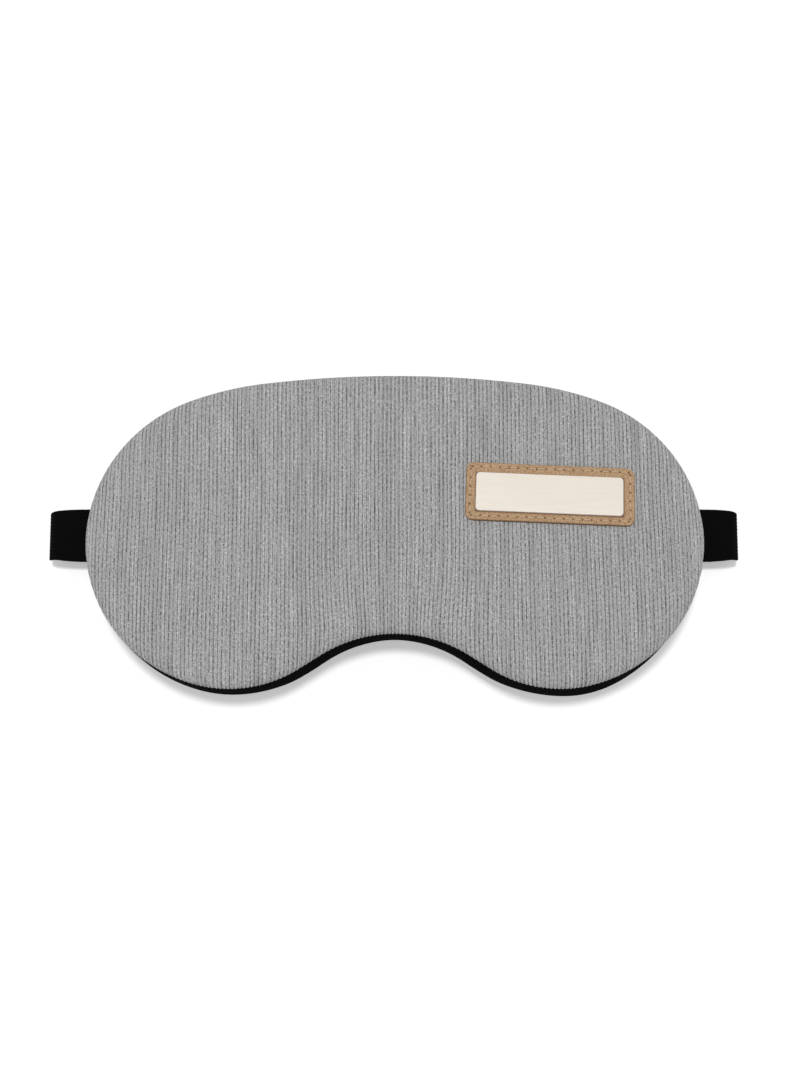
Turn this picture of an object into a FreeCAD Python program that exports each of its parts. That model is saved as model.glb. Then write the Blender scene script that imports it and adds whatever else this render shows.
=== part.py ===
import FreeCAD, Part
import math
import os
import Sketcher
from FreeCAD import Placement, Rotation, Vector

# A sleep eye mask lying face up on its own folded strap.
# X runs along the width, Y towards the forehead edge, Z out of the front face.
# The origin is under the middle of the mask, on the surface that it lies on.

driving_sizes = {
    # outline of the padded mask: each side is an end circle with a wider shoulder above it and a
    # tighter lobe below it, and the brow and the nose recess join the two sides
    "half_width": 100.0,
    "brow_height": 52.9,
    "lobe_depth": 52.9,
    "nose_depth": 35.2,
    "side_drop": 5.6,
    "shoulder_drop": 2.0,
    "shoulder_step": 50.0,
    "lobe_rise": 0.3,
    "lobe_step": 10.0,
    "nose_slope": 8.0,
    # layers of the padded mask
    "back_thickness": 0.8,
    "liner_thickness": 0.3,
    "foam_thickness": 5.0,
    "band_thickness": 0.8,
    "fill_clearance": 0.15,
    "side_height": 10.3,
    "dome_height": 4.7,
    "dome_edge": 4.4,
    "knit_thickness": 1.0,
    # leather patch, its plate and its stitches
    "patch_across": 50.5,
    "patch_up": 10.5,
    "patch_tilt": -2.5,
    "patch_length": 54.3,
    "patch_width": 19.2,
    "patch_thickness": 1.2,
    "patch_corner": 1.6,
    "plate_length": 48.0,
    "plate_width": 12.8,
    "plate_thickness": 0.8,
    "plate_corner": 0.8,
    "plate_edge": 0.3,
    "stitch_border": 1.5,
    "stitch_channel": 0.9,
    "channel_depth": 0.25,
    "stitch_pitch": 3.0,
    "stitch_length": 2.1,
    "thread_radius": 0.3,
    # elastic strap
    "strap_up": 0.5,
    "strap_width": 18.0,
    "strap_thickness": 0.9,
    "strap_overhang": 15.0,
    "tail_length": 20.0,
    "tongue_length": 2.0,
    "slot_clearance": 0.1,
    "stretch_gap": 0.3,
    "bend_foot": 5.0,
    "under_gap": 0.3,
    # ring that the long strap turns back through
    "ring_across": -62.0,
    "ring_length": 12.0,
    "ring_bar": 2.0,
    "ring_thickness": 1.1,
    "ring_corner": 2.5,
    "ring_slot_corner": 0.7,
    "side_clearance": 0.5,
    # adjuster slider, with a raised centre bar between two posts
    "slider_across": 10.0,
    "slider_length": 14.0,
    "slider_bar": 1.8,
    "slider_rail": 2.0,
    "slider_thickness": 1.0,
    "slider_corner": 2.0,
    "post_length": 6.0,
    "centre_bar": 2.4,
    "centre_thickness": 1.2,
    "running_gap": 0.1,
    "fold_gap": 0.05,
    "travel_in": 30.0,
    "travel_out": 45.0,
    "travel_margin": 2.0,
    "ramp_length": 9.0,
    # folded strap ends and the tacks that close them
    "fold_length": 12.0,
    "fold_slope": 4.0,
    "return_stub": 2.0,
    "tack_margin": 0.8,
    "tack_length": 1.8,
    "tack_width": 14.0,
    "tack_thickness": 0.2,
}

document = FreeCAD.newDocument("SleepEyeMask")
sheet = document.addObject("Spreadsheet::Sheet", "Sizes")
for row, (alias, number) in enumerate(driving_sizes.items(), start=1):
    sheet.set(f"A{row}", alias)
    sheet.set(f"B{row}", str(number))
    sheet.setAlias(f"B{row}", alias)
document.recompute()

# The arcs of the outline's right half. The end circle spans from side_drop under the brow's top to
# lobe_rise under the lobe's bottom. The shoulder and the lobe touch it from outside and inside.
side_radius = "((Sizes.brow_height - Sizes.side_drop + Sizes.lobe_depth + Sizes.lobe_rise) / 2)"
side_across = f"(Sizes.half_width - {side_radius})"
side_up = f"(Sizes.brow_height - Sizes.side_drop - {side_radius})"
shoulder_radius = f"({side_radius} + Sizes.shoulder_step)"
shoulder_up = f"(Sizes.brow_height - Sizes.shoulder_drop - {shoulder_radius})"
shoulder_across = f"({side_across} - sqrt(Sizes.shoulder_step ^ 2 - ({side_up} - {shoulder_up}) ^ 2))"
lobe_radius = f"({side_radius} - Sizes.lobe_step)"
lobe_up = f"({lobe_radius} - Sizes.lobe_depth)"
lobe_across = f"({side_across} + sqrt(Sizes.lobe_step ^ 2 - ({side_up} - {lobe_up}) ^ 2))"
# The brow arc has its top on the Y axis and touches the shoulder from outside.
brow_fall = f"(Sizes.brow_height - {shoulder_up})"
brow_radius = (f"(({shoulder_across} ^ 2 + {brow_fall} ^ 2 - {shoulder_radius} ^ 2)"
               f" / (2 * ({brow_fall} - {shoulder_radius})))")
brow_up = f"(Sizes.brow_height - {brow_radius})"
# The nose arc has its top on the Y axis, and a straight slope of a set length leads to the lobe.
recess = "(Sizes.lobe_depth - Sizes.nose_depth)"
nose_radius = (f"(({lobe_across} ^ 2 + ({lobe_up} + Sizes.nose_depth) ^ 2 - {lobe_radius} ^ 2"
               f" - Sizes.nose_slope ^ 2) / (2 * {recess}))")
nose_up = f"(-Sizes.nose_depth - {nose_radius})"

# Heights and places that several pieces share, each written once in the sheet's names.
# Heights of a strap are those of its middle.
half_strap = "Sizes.strap_thickness / 2"
strap_floor = f"({half_strap})"
raised_run = f"(Sizes.slider_thickness + Sizes.running_gap + {half_strap})"
return_height = f"({raised_run} + Sizes.strap_thickness + Sizes.running_gap)"
layer_step = "(Sizes.strap_thickness + Sizes.fold_gap)"
ring_turn = f"(Sizes.ring_thickness / 2 + Sizes.fold_gap + {half_strap})"
ring_height = f"({strap_floor} + {ring_turn})"
ring_top = f"({strap_floor} + 2 * {ring_turn})"
bar_turn = f"(Sizes.centre_thickness / 2 + Sizes.fold_gap + {half_strap})"
bar_height = f"({return_height} + {bar_turn})"
wrap_top = f"({return_height} + 2 * {bar_turn})"
back_height = f"({wrap_top} + {half_strap} + Sizes.under_gap)"
liner_height = f"({back_height} + Sizes.back_thickness)"
foam_height = f"({liner_height} + Sizes.liner_thickness)"
batting_height = f"({foam_height} + Sizes.foam_thickness)"
seam_height = f"({back_height} + Sizes.side_height)"
front_height = f"({seam_height} + Sizes.dome_height)"
tongue_height = f"({foam_height} + {half_strap})"
bend_radius = f"(({tongue_height} - {strap_floor}) / 2)"
bend_centre = f"(Sizes.half_width + Sizes.strap_overhang - {half_strap} - {bend_radius})"
bend_end = f"({bend_centre} - Sizes.bend_foot)"
filling_inset = "(Sizes.band_thickness + Sizes.fill_clearance)"
half_slot = "(Sizes.strap_width / 2 + Sizes.side_clearance)"
ring_left = "(Sizes.ring_across - Sizes.ring_length / 2)"
ring_right = "(Sizes.ring_across + Sizes.ring_length / 2)"
return_start = f"({ring_right} + Sizes.return_stub)"
fold_end = "(Sizes.slider_across - Sizes.fold_length)"
wrap_start = f"({fold_end} - Sizes.return_stub)"


def value(expression):
    """The number that an expression in the sheet's names comes to, in millimetres."""
    return float(sheet.evalExpression(expression))


def new_body(label):
    body = document.addObject("PartDesign::Body", label)
    body.Label = label
    return body


def plane_sketch(body, name, role, height="0"):
    """An empty sketch on one of the body's own origin planes, raised along that plane's normal."""
    sketch = body.newObject("Sketcher::SketchObject", name)
    plane = [item for item in body.Origin.OriginFeatures if item.Role == role][0]
    sketch.AttachmentSupport = (plane, "")
    sketch.MapMode = "FlatFace"
    sketch.setExpression("AttachmentOffset.Base.z", height)
    return sketch


def fix(sketch, kind, *details, size):
    """Adds one dimension to a sketch and ties it to the sheet."""
    index = sketch.addConstraint(Sketcher.Constraint(kind, *details, value(size)))
    sketch.setExpression(f"Constraints[{index}]", size)


def fix_point(sketch, item, point, across=None, up=None):
    """Ties a point of a sketch to its signed distances from the sketch's origin."""
    for kind, size, axis in (("DistanceX", across, -2), ("DistanceY", up, -1)):
        if size is None:
            continue
        if abs(value(size)) < 1e-9:
            sketch.addConstraint(Sketcher.Constraint("PointOnObject", item, point, axis))
        elif value(size) > 0:
            fix(sketch, kind, -1, 1, item, point, size=size)
        else:
            fix(sketch, kind, item, point, -1, 1, size=f"-({size})")


def direction(angle):
    return Vector(math.cos(angle), math.sin(angle), 0)


def heading(start, end):
    return math.atan2(end.y - start.y, end.x - start.x)


def add_arc(sketch, centre, radius, start, end):
    """Adds an arc that runs anticlockwise from its start angle to its end angle."""
    circle = Part.Circle(centre, Vector(0, 0, 1), radius)
    return sketch.addGeometry(Part.ArcOfCircle(circle, start, end))


def join(sketch, kind, first, first_point, second, second_point):
    sketch.addConstraint(Sketcher.Constraint(kind, first, first_point, second, second_point))


def draw_outline(sketch, inset="0"):
    """Draws the mask's closed outline, moved inwards by an inset, tied to the sheet."""
    brow = Vector(0, value(brow_up), 0)
    shoulder = Vector(value(shoulder_across), value(shoulder_up), 0)
    side = Vector(value(side_across), value(side_up), 0)
    lobe = Vector(value(lobe_across), value(lobe_up), 0)
    nose = Vector(0, value(nose_up), 0)
    brow_turn = heading(brow, shoulder)
    shoulder_turn = heading(shoulder, side)
    side_turn = heading(side, lobe)
    reach = value(f"{lobe_radius} + {nose_radius}") / (nose - lobe).Length
    lobe_turn = heading(lobe, nose) + math.acos(reach)
    nose_turn = lobe_turn + math.pi
    half_arcs = (
        (shoulder_radius, shoulder, shoulder_turn, brow_turn),
        (side_radius, side, side_turn, shoulder_turn),
        (lobe_radius, lobe, lobe_turn, side_turn),
    )
    middle_arcs = []
    for radius, centre, turn in ((f"{brow_radius} - ({inset})", brow, brow_turn),
                                 (f"{nose_radius} + ({inset})", nose, nose_turn)):
        arc = add_arc(sketch, centre, value(radius), turn, math.pi - turn)
        fix(sketch, "Radius", arc, size=radius)
        middle_arcs.append(arc)
    brow_arc, nose_arc = middle_arcs
    fix_point(sketch, brow_arc, 3, "0", brow_up)
    fix_point(sketch, nose_arc, 3, "0", nose_up)
    for hand in (1, -1):
        # On the right an arc is followed from its end to its start, and on the left the other way.
        entry, leave = (2, 1) if hand == 1 else (1, 2)
        before, before_point = brow_arc, leave
        for radius, centre, start, end in half_arcs:
            turns = (start, end) if hand == 1 else (math.pi - end, math.pi - start)
            inner = f"{radius} - ({inset})"
            arc = add_arc(sketch, Vector(hand * centre.x, centre.y, 0), value(inner), *turns)
            fix(sketch, "Radius", arc, size=inner)
            join(sketch, "Tangent", before, before_point, arc, entry)
            before, before_point = arc, leave
            if radius == side_radius:
                fix_point(sketch, arc, 3, across=f"{hand} * {side_across}")
        fix_point(sketch, before, 3, f"{hand} * {lobe_across}", lobe_up)
        foot = lobe + direction(lobe_turn) * value(f"{lobe_radius} - ({inset})")
        head = nose + direction(nose_turn) * value(f"{nose_radius} + ({inset})")
        ends = [Vector(hand * point.x, point.y, 0) for point in (foot, head)]
        slope = sketch.addGeometry(Part.LineSegment(*ends))
        join(sketch, "Tangent", before, before_point, slope, 1)
        join(sketch, "Tangent", slope, 2, nose_arc, leave)


def draw_rectangle(sketch, left, right, bottom, top, corner=None):
    """Draws a rectangle between four signed distances, with rounded corners where one is given."""
    radius = value(corner) if corner else 0
    corners = [(left, bottom), (right, bottom), (right, top), (left, top)]
    points = [Vector(value(across), value(up), 0) for across, up in corners]
    sides = []
    for index, start in enumerate(points):
        end = points[(index + 1) % 4]
        unit = (end - start).normalize()
        sides.append(sketch.addGeometry(Part.LineSegment(start + unit * radius, end - unit * radius)))
        level = "Horizontal" if index % 2 == 0 else "Vertical"
        sketch.addConstraint(Sketcher.Constraint(level, sides[-1]))
    for index, side in enumerate(sides):
        following = sides[(index + 1) % 4]
        if not corner:
            join(sketch, "Coincident", side, 2, following, 1)
            continue
        point = points[(index + 1) % 4]
        start = (index - 1) * math.pi / 2
        centre = point - (direction(start) + direction(start + math.pi / 2)) * radius
        arc = add_arc(sketch, centre, radius, start, start + math.pi / 2)
        join(sketch, "Tangent", side, 2, arc, 1)
        join(sketch, "Tangent", arc, 2, following, 1)
        fix(sketch, "Radius", arc, size=corner)
    fix_point(sketch, sides[0], 1, up=bottom)
    fix_point(sketch, sides[1], 1, across=right)
    fix_point(sketch, sides[2], 1, up=top)
    fix_point(sketch, sides[3], 1, across=left)


def tangent_heading(point, centre, radius, turn, leaving):
    """Heading of the line that touches a round turn, on its way in from a point or out to one."""
    lean = math.asin(turn * radius / (centre - point).Length)
    if leaving:
        return heading(centre, point) + lean
    return heading(point, centre) - lean


def draw_path(sketch, stops):
    """Draws an open path of straight runs. A stop is a corner (across, up) or a round turn
    (across, up, radius, turn), which the path goes round anticlockwise where turn is 1."""
    places = [Vector(value(stop[0]), value(stop[1]), 0) for stop in stops]
    end_item, end_point, end_place = None, None, None
    for index, stop in enumerate(stops):
        if len(stop) == 2:
            arrival = places[index]
        else:
            radius, turn = value(stop[2]), stop[3]
            way_in = tangent_heading(places[index - 1], places[index], radius, turn, False)
            way_out = tangent_heading(places[index + 1], places[index], radius, turn, True)
            arrival = places[index] + direction(way_in - turn * math.pi / 2) * radius
            departure = places[index] + direction(way_out - turn * math.pi / 2) * radius
        if end_place is not None:
            run = sketch.addGeometry(Part.LineSegment(end_place, arrival))
            if end_item is None:
                fix_point(sketch, run, 1, *stops[0])
            elif end_point == 2 and len(stops[index - 1]) == 2:
                join(sketch, "Coincident", end_item, 2, run, 1)
            else:
                join(sketch, "Tangent", end_item, end_point, run, 1)
            end_item, end_point = run, 2
            if len(stop) == 2:
                fix_point(sketch, run, 2, *stop)
        end_place = arrival
        if len(stop) == 4:
            angles = [way_in - turn * math.pi / 2, way_out - turn * math.pi / 2]
            arc = add_arc(sketch, places[index], radius, *(angles if turn == 1 else angles[::-1]))
            first, last = (1, 2) if turn == 1 else (2, 1)
            join(sketch, "Tangent", end_item, 2, arc, first)
            fix(sketch, "Radius", arc, size=stop[2])
            fix_point(sketch, arc, 3, stop[0], stop[1])
            end_item, end_point, end_place = arc, last, departure


def pad(body, sketch, length, symmetric=False):
    feature = body.newObject("PartDesign::Pad", "Pad")
    feature.Profile = sketch
    feature.Midplane = symmetric
    feature.setExpression("Length", length)
    sketch.Visibility = False
    return feature


def layer(label, inset, height, thickness):
    """A flat layer of the mask: its outline, moved in by an inset, from a height up."""
    body = new_body(label)
    sketch = plane_sketch(body, label + "_outline", "XY_Plane", height)
    draw_outline(sketch, inset)
    pad(body, sketch, thickness)
    return body


def round_edges(body, radius, wanted):
    """Rounds the edges of a body that a test picks."""
    document.recompute()
    base = body.Tip
    names = [f"Edge{number}" for number, edge in enumerate(base.Shape.Edges, start=1) if wanted(edge)]
    fillet = body.newObject("PartDesign::Fillet", "Rounded")
    fillet.Base = (base, names)
    fillet.setExpression("Radius", radius)


def round_top(body, radius):
    """Rounds the edges of a body's top face."""
    document.recompute()
    top = body.Tip.Shape.BoundBox.ZMax
    round_edges(body, radius, lambda edge: edge.BoundBox.ZMin > top - 1e-6)


def pocket(body, sketch, depth=None):
    """Cuts a sketch upwards into a body by a depth, or both ways through all of it."""
    document.recompute()
    before = body.Shape.Volume
    feature = body.newObject("PartDesign::Pocket", "Pocket")
    feature.Profile = sketch
    if depth:
        feature.Reversed = True
        feature.setExpression("Length", depth)
    else:
        feature.Type = "ThroughAll"
        feature.Midplane = True
    sketch.Visibility = False
    document.recompute()
    if body.Shape.Volume >= before:
        raise RuntimeError(f"{body.Label}: the pocket cuts nothing")


def place(item, **expressions):
    """Ties an object's position to the sheet, axis by axis."""
    for axis, size in expressions.items():
        item.setExpression(f"Placement.Base.{axis}", size)


def strip(label, stops):
    """A length of strap that follows a path in the plane across the width."""
    body = new_body(label)
    path = plane_sketch(body, label + "_path", "XZ_Plane")
    draw_path(path, stops)
    section = plane_sketch(body, label + "_section", "YZ_Plane", stops[0][0])
    draw_rectangle(section, "-Sizes.strap_width / 2", "Sizes.strap_width / 2",
                   f"{stops[0][1]} - {half_strap}", f"{stops[0][1]} + {half_strap}")
    document.recompute()
    feature = body.newObject("PartDesign::AdditivePipe", "Strip")
    feature.Profile = section
    feature.Spine = (path, [f"Edge{number + 1}" for number in range(len(path.Shape.Edges))])
    feature.Transition = "Right corner"
    for sketch in (path, section):
        sketch.Visibility = False
    place(body, y="Sizes.strap_up")
    return body


def box(label, length, width, height):
    """A plain block, tied to the sheet."""
    item = document.addObject("Part::Box", label)
    item.Label = label
    for side, size in (("Length", length), ("Width", width), ("Height", height)):
        item.setExpression(side, size)
    return item


# The padded mask, from the face side to the front

def make_edge_band():
    body = new_body("edge_band")
    sketch = plane_sketch(body, "band_outline", "XY_Plane", liner_height)
    draw_outline(sketch)
    draw_outline(sketch, "Sizes.band_thickness")
    pad(body, sketch, f"{seam_height} - {liner_height}")
    slot = plane_sketch(body, "strap_slot", "YZ_Plane")
    half_width = "Sizes.strap_width / 2 + Sizes.slot_clearance"
    draw_rectangle(slot, f"Sizes.strap_up - ({half_width})", f"Sizes.strap_up + {half_width}",
                   f"{foam_height} - Sizes.slot_clearance",
                   f"{foam_height} + Sizes.strap_thickness + Sizes.slot_clearance")
    pocket(body, slot)
    return body


def make_foam_core():
    """The foam has a shallow pocket over each sewn-in strap end."""
    body = layer("foam_core", filling_inset, foam_height, "Sizes.foam_thickness")
    half_width = "Sizes.strap_width / 2 + Sizes.slot_clearance"
    inner_end = "(Sizes.half_width - Sizes.tail_length - Sizes.slot_clearance)"
    recess = plane_sketch(body, "tail_recess", "XY_Plane", foam_height)
    for ends in ((inner_end, "Sizes.half_width"), ("-Sizes.half_width", f"-{inner_end}")):
        draw_rectangle(recess, *ends, f"Sizes.strap_up - ({half_width})", f"Sizes.strap_up + {half_width}")
    pocket(body, recess, "Sizes.strap_thickness + Sizes.slot_clearance")
    return body


def make_batting():
    inset = "(Sizes.knit_thickness + Sizes.fill_clearance)"
    body = layer("batting", inset, batting_height, f"{front_height} - {inset} - {batting_height}")
    round_top(body, f"Sizes.dome_edge - {inset}")
    return body


def make_front_cover():
    """A knit shell, rounded outside and inside about the same centres."""
    outside = layer("front_outside", "0", seam_height, "Sizes.dome_height")
    round_top(outside, "Sizes.dome_edge")
    inside = layer("front_inside", "Sizes.knit_thickness", seam_height,
                   "Sizes.dome_height - Sizes.knit_thickness")
    round_top(inside, "Sizes.dome_edge - Sizes.knit_thickness")
    cover = document.addObject("Part::Cut", "front_cover")
    cover.Label = "front_cover"
    cover.Base = outside
    cover.Tool = inside
    return cover


def make_strap_end(label, hand):
    """The sewn-in tail of the strap and the short tongue that shows outside the band."""
    item = box(label, "Sizes.tail_length + Sizes.tongue_length", "Sizes.strap_width",
               "Sizes.strap_thickness")
    near = "Sizes.half_width - Sizes.tail_length"
    far = "-Sizes.half_width - Sizes.tongue_length"
    place(item, x=near if hand == 1 else far, y="Sizes.strap_up - Sizes.strap_width / 2", z=foam_height)
    return item


# The patch, drawn level about its own middle and then laid on the front

def lay_on_front(item):
    turn = Rotation(Vector(0, 0, 1), value("Sizes.patch_tilt"))
    item.Placement = Placement(Vector(0, 0, 0), turn)
    place(item, x="Sizes.patch_across", y="Sizes.patch_up", z=front_height)


def draw_patch_rectangle(sketch, inset, corner, length="Sizes.patch_length", width="Sizes.patch_width"):
    half_length, half_width = f"({length} / 2 - ({inset}))", f"({width} / 2 - ({inset}))"
    draw_rectangle(sketch, f"-{half_length}", half_length, f"-{half_width}", half_width, corner)


def make_leather_patch():
    """Leather with a shallow channel for its stitches."""
    body = new_body("leather_patch")
    sketch = plane_sketch(body, "patch_outline", "XY_Plane")
    draw_patch_rectangle(sketch, "0", "Sizes.patch_corner")
    pad(body, sketch, "Sizes.patch_thickness")
    channel = plane_sketch(body, "stitch_channel", "XY_Plane", "Sizes.patch_thickness - Sizes.channel_depth")
    for side in (-1, 1):
        draw_patch_rectangle(channel, f"Sizes.stitch_border + {side} * Sizes.stitch_channel / 2", None)
    pocket(body, channel, "Sizes.channel_depth")
    lay_on_front(body)
    return body


def make_label_plate():
    body = new_body("label_plate")
    sketch = plane_sketch(body, "plate_outline", "XY_Plane", "Sizes.patch_thickness")
    draw_patch_rectangle(sketch, "0", "Sizes.plate_corner", "Sizes.plate_length", "Sizes.plate_width")
    pad(body, sketch, "Sizes.plate_thickness")
    round_top(body, "Sizes.plate_edge")
    lay_on_front(body)
    return body


def make_patch_stitches():
    """Equal stitches along the four sides of the channel, none of them across a corner."""
    pitch = value("Sizes.stitch_pitch")
    half_length = value("Sizes.patch_length / 2 - Sizes.stitch_border")
    half_width = value("Sizes.patch_width / 2 - Sizes.stitch_border")
    height = value("Sizes.patch_thickness - Sizes.channel_depth + Sizes.thread_radius")
    stitches = []
    for run, aside, turn in ((half_length, half_width, 0), (half_width, half_length, 90)):
        lengthwise = Rotation(Vector(0, 0, 1), turn)
        count = int(2 * run / pitch)
        for side in (-1, 1):
            for index in range(count):
                start = (index - (count - 1) / 2) * pitch - value("Sizes.stitch_length") / 2
                stitch = document.addObject("Part::Cylinder", "stitch")
                stitch.setExpression("Radius", "Sizes.thread_radius")
                stitch.setExpression("Height", "Sizes.stitch_length")
                lying = lengthwise * Rotation(Vector(0, 1, 0), 90)
                stitch.Placement = Placement(lengthwise * Vector(start, side * aside, height), lying)
                stitches.append(stitch)
    group = document.addObject("Part::Compound", "patch_stitches")
    group.Label = "patch_stitches"
    group.Links = stitches
    lay_on_front(group)
    return group


# The strap behind the mask: it is fixed to the left side, ends in a ring, and the long part from
# the right side turns back through that ring to the slider.

def make_strap_side(label, hand):
    start = f"{hand} * (Sizes.half_width + Sizes.tongue_length + Sizes.stretch_gap)"
    middle = f"({tongue_height} + {strap_floor}) / 2"
    return strip(label, [
        (start, tongue_height),
        (f"{hand} * {bend_centre}", middle, bend_radius, -hand),
        (f"{hand} * {bend_end}", strap_floor),
    ])


def fold_back(edge, top, bottom):
    """The end of a strap laid back on itself: over a bar's far edge, down, and flat."""
    return [
        (edge, top),
        (f"{edge} - Sizes.fold_slope", bottom),
        (f"{edge} - Sizes.fold_length", bottom),
    ]


def make_ring_tab():
    turn_across = f"({ring_left} + Sizes.ring_bar - Sizes.ring_thickness / 2)"
    return strip("ring_tab", [
        (f"-{bend_end}", strap_floor),
        (turn_across, ring_height, ring_turn, 1),
        *fold_back(ring_left, ring_top, f"{strap_floor} + {layer_step}"),
    ])


def make_strap_run():
    """The long strap is raised where the slider's outer bars pass under it."""
    turn_across = f"({ring_right} - Sizes.ring_bar + Sizes.ring_thickness / 2)"
    reach = "Sizes.slider_length / 2 + Sizes.travel_margin"
    raised_right = f"(Sizes.slider_across + Sizes.travel_out + {reach})"
    raised_left = f"(Sizes.slider_across - Sizes.travel_in - ({reach}))"
    return strip("strap_run", [
        (bend_end, strap_floor),
        (f"{raised_right} + Sizes.ramp_length", strap_floor),
        (raised_right, raised_run),
        (raised_left, raised_run),
        (f"{raised_left} - Sizes.ramp_length", strap_floor),
        (turn_across, ring_height, ring_turn, -1),
        (return_start, ring_top),
    ])


def make_strap_return():
    return strip("strap_return", [
        (return_start, ring_top),
        (f"{wrap_start} - Sizes.stretch_gap", return_height),
    ])


def make_slider_wrap():
    turn_across = "(Sizes.slider_across + Sizes.centre_bar / 2 - Sizes.centre_thickness / 2)"
    bar_edge = "(Sizes.slider_across - Sizes.centre_bar / 2)"
    return strip("slider_wrap", [
        (wrap_start, return_height),
        (turn_across, bar_height, bar_turn, 1),
        (bar_edge, wrap_top),
        (f"{bar_edge} - Sizes.fold_slope", f"{return_height} + {layer_step}"),
        (fold_end, f"{return_height} + {layer_step}"),
    ])


def make_tack(label, end, height):
    """A dense bar of stitching across the free end of a fold."""
    item = box(label, "Sizes.tack_length", "Sizes.tack_width", "Sizes.tack_thickness")
    place(item, x=f"{end} + Sizes.tack_margin", y="Sizes.strap_up - Sizes.tack_width / 2",
          z=f"{height} + {layer_step} + {half_strap}")
    return item


def make_ring():
    body = new_body("ring")
    sketch = plane_sketch(body, "ring_outline", "XY_Plane", f"{ring_height} - Sizes.ring_thickness / 2")
    half_length, bar = "Sizes.ring_length / 2", "Sizes.ring_bar"
    draw_rectangle(sketch, f"-{half_length}", half_length, f"-{half_slot} - {bar}", f"{half_slot} + {bar}",
                   "Sizes.ring_corner")
    draw_rectangle(sketch, f"-{half_length} + {bar}", f"{half_length} - {bar}", f"-{half_slot}", half_slot,
                   "Sizes.ring_slot_corner")
    pad(body, sketch, "Sizes.ring_thickness")
    round_edges(body, "Sizes.ring_thickness / 2 - Sizes.fold_gap", lambda edge: edge.BoundBox.ZLength < 1e-6)
    place(body, x="Sizes.ring_across", y="Sizes.strap_up")
    return body


def make_slider():
    body = new_body("slider")
    half_length, bar, rail = "Sizes.slider_length / 2", "Sizes.slider_bar", "Sizes.slider_rail"
    frame = plane_sketch(body, "slider_frame", "XY_Plane")
    draw_rectangle(frame, f"-{half_length}", half_length, f"-{half_slot} - {rail}", f"{half_slot} + {rail}",
                   "Sizes.slider_corner")
    draw_rectangle(frame, f"-{half_length} + {bar}", f"{half_length} - {bar}", f"-{half_slot}", half_slot)
    pad(body, frame, "Sizes.slider_thickness")
    posts = plane_sketch(body, "slider_posts", "XY_Plane")
    half_post = "Sizes.post_length / 2"
    for bottom, top in ((half_slot, f"{half_slot} + {rail}"), (f"-{half_slot} - {rail}", f"-{half_slot}")):
        draw_rectangle(posts, f"-{half_post}", half_post, bottom, top)
    pad(body, posts, f"{bar_height} + Sizes.centre_thickness / 2")
    centre = plane_sketch(body, "centre_bar", "XY_Plane", f"{bar_height} - Sizes.centre_thickness / 2")
    half_bar = "Sizes.centre_bar / 2"
    bar_end = f"{half_slot} + {rail} / 2"
    draw_rectangle(centre, f"-{half_bar}", half_bar, f"-({bar_end})", bar_end)
    pad(body, centre, "Sizes.centre_thickness")
    bar_bottom = value(f"{bar_height} - Sizes.centre_thickness / 2")
    bar_reach = value("Sizes.strap_width")

    def along_centre_bar(edge):
        bounds = edge.BoundBox
        return bounds.ZMin > bar_bottom - 1e-6 and bounds.YLength > bar_reach and bounds.XLength < 1e-6

    round_edges(body, "Sizes.centre_thickness / 2 - Sizes.fold_gap", along_centre_bar)
    place(body, x="Sizes.slider_across", y="Sizes.strap_up")
    return body


sub_parts = [
    layer("back_cover", "0", back_height, "Sizes.back_thickness"),
    layer("blackout_liner", filling_inset, liner_height, "Sizes.liner_thickness"),
    make_foam_core(),
    make_batting(),
    make_edge_band(),
    make_front_cover(),
    make_leather_patch(),
    make_label_plate(),
    make_patch_stitches(),
    make_strap_end("strap_end_left", -1),
    make_strap_end("strap_end_right", 1),
    make_strap_side("strap_side_left", -1),
    make_strap_side("strap_side_right", 1),
    make_ring(),
    make_ring_tab(),
    make_tack("tab_tack", f"({ring_left} - Sizes.fold_length)", strap_floor),
    make_strap_run(),
    make_strap_return(),
    make_slider(),
    make_slider_wrap(),
    make_tack("wrap_tack", fold_end, return_height),
]
document.recompute()

for item in document.Objects:
    if any(word in state for state in item.State for word in ("Invalid", "Error")):
        raise RuntimeError(f"{item.Label} did not recompute: {item.State}")

os.makedirs("parts", exist_ok=True)
for item in sub_parts:
    if item.Shape.isNull() or not item.Shape.isValid():
        raise RuntimeError(f"{item.Label} has no valid shape")
    item.Shape.exportStep(f"parts/{item.Label}.step")
    bounds = item.Shape.BoundBox
    print(f"{item.Label}: {len(item.Shape.Solids)} solids, {item.Shape.Volume:.1f} mm3, "
          f"X {bounds.XMin:.2f} {bounds.XMax:.2f}, Y {bounds.YMin:.2f} {bounds.YMax:.2f}, "
          f"Z {bounds.ZMin:.2f} {bounds.ZMax:.2f}")
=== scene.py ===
import bmesh
import bpy
import math
import numpy as np
from functools import partial
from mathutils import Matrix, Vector


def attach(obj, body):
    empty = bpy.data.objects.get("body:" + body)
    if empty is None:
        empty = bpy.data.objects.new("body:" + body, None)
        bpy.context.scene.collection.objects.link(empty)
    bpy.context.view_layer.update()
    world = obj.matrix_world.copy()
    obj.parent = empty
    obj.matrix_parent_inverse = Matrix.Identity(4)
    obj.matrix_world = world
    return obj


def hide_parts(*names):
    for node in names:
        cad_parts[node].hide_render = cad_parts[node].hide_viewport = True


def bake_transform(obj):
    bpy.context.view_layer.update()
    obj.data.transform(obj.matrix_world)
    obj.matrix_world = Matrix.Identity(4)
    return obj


# A sleep eye mask lying face up on its folded elastic strap.
# X runs along the width, Y towards the forehead edge, Z out of the front.
# Sizes in the dictionaries are in millimetres; meshes are made in metres.

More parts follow.
